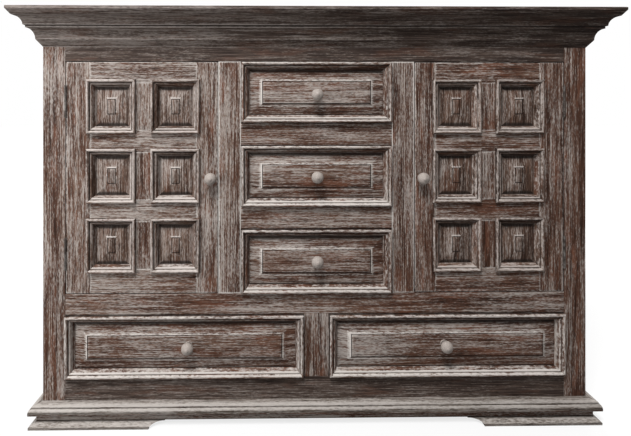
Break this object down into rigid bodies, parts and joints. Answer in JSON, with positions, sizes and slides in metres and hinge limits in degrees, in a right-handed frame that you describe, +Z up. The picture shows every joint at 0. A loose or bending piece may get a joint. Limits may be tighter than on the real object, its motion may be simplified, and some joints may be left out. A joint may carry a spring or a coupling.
{
  "type": "dresser",
  "caption": "Wide limed-wood dresser with a moulded crown and base: coffered doors beside a stack of small drawers, over wide drawers.",
  "frame": {"origin": "on the floor, under the middle of the overall width and depth", "axes": "+X to the viewer's right along the width, +Y from the front to the back, +Z up"},
  "size_m": [1.612, 0.506, 1.116],
  "materials": {
    "limed_wood": "open-grained dark brown wood, wire-brushed and limed with greyish white in the grain",
    "limed_wood_pale": "the same wood with the white lime left thicker on mouldings, panels and ledges",
    "knob_wood": "pale greyish cream wood, smooth and matt",
    "bare_wood": "unpainted planed wood of the inside, matt",
    "hinge_steel": "dull bright steel of the butt hinges and catches"
  },
  "bodies": {
    "case": {"front_post_left": "limed_wood", "front_post_right": "limed_wood", "rear_posts": "limed_wood", "side_rails": "limed_wood", "side_panel_left": "limed_wood_pale", "side_panel_right": "limed_wood_pale", "back_panel": "limed_wood", "top_board": "limed_wood", "bottom_board": "bare_wood", "divider_board": "bare_wood", "partitions": "bare_wood", "lower_partition": "bare_wood", "shelves": "bare_wood", "rail_top": "limed_wood", "rail_middle": "limed_wood", "rail_bottom": "limed_wood", "outer_stiles": "limed_wood", "inner_stiles": "limed_wood", "drawer_rails": "limed_wood", "mullion": "limed_wood", "crown_front": "limed_wood", "crown_left": "limed_wood", "crown_right": "limed_wood", "base_front": "limed_wood_pale", "base_left": "limed_wood_pale", "base_right": "limed_wood_pale", "base_rear": "limed_wood_pale", "foot_front_left": "limed_wood_pale", "foot_front_right": "limed_wood_pale", "foot_rear_left": "limed_wood_pale", "foot_rear_right": "limed_wood_pale", "drawer_runners": "bare_wood", "hinge_leaves": "hinge_steel", "door_catches": "hinge_steel"},
    "drawer_top": {"drawer_top_front": "limed_wood", "drawer_top_box": "bare_wood", "drawer_top_knob": "knob_wood"},
    "drawer_middle": {"drawer_middle_front": "limed_wood", "drawer_middle_box": "bare_wood", "drawer_middle_knob": "knob_wood"},
    "drawer_bottom": {"drawer_bottom_front": "limed_wood", "drawer_bottom_box": "bare_wood", "drawer_bottom_knob": "knob_wood"},
    "drawer_wide_left": {"drawer_wide_left_front": "limed_wood", "drawer_wide_left_box": "bare_wood", "drawer_wide_left_knob": "knob_wood"},
    "drawer_wide_right": {"drawer_wide_right_front": "limed_wood", "drawer_wide_right_box": "bare_wood", "drawer_wide_right_knob": "knob_wood"},
    "door_left": {"door_left_frame": "limed_wood", "door_left_panels": "limed_wood_pale", "door_left_mouldings": "limed_wood_pale", "door_left_knob": "knob_wood", "door_left_hinges": "hinge_steel"},
    "door_right": {"door_right_frame": "limed_wood", "door_right_panels": "limed_wood_pale", "door_right_mouldings": "limed_wood_pale", "door_right_knob": "knob_wood", "door_right_hinges": "hinge_steel"}
  },
  "joints": [
    {"name": "drawer_top_slide", "type": "slide", "parent": "case", "child": "drawer_top", "axis": [0, -1, 0], "range_m": [0, 0.3]},
    {"name": "drawer_middle_slide", "type": "slide", "parent": "case", "child": "drawer_middle", "axis": [0, -1, 0], "range_m": [0, 0.3]},
    {"name": "drawer_bottom_slide", "type": "slide", "parent": "case", "child": "drawer_bottom", "axis": [0, -1, 0], "range_m": [0, 0.3]},
    {"name": "drawer_wide_left_slide", "type": "slide", "parent": "case", "child": "drawer_wide_left", "axis": [0, -1, 0], "range_m": [0, 0.3]},
    {"name": "drawer_wide_right_slide", "type": "slide", "parent": "case", "child": "drawer_wide_right", "axis": [0, -1, 0], "range_m": [0, 0.3]},
    {"name": "door_left_hinge", "type": "hinge", "parent": "case", "child": "door_left", "pos_m": [-0.679, -0.1902, 0.664], "axis": [0, 0, -1], "range_deg": [0, 105]},
    {"name": "door_right_hinge", "type": "hinge", "parent": "case", "child": "door_right", "pos_m": [0.679, -0.1902, 0.664], "axis": [0, 0, 1], "range_deg": [0, 105]}
  ]
}
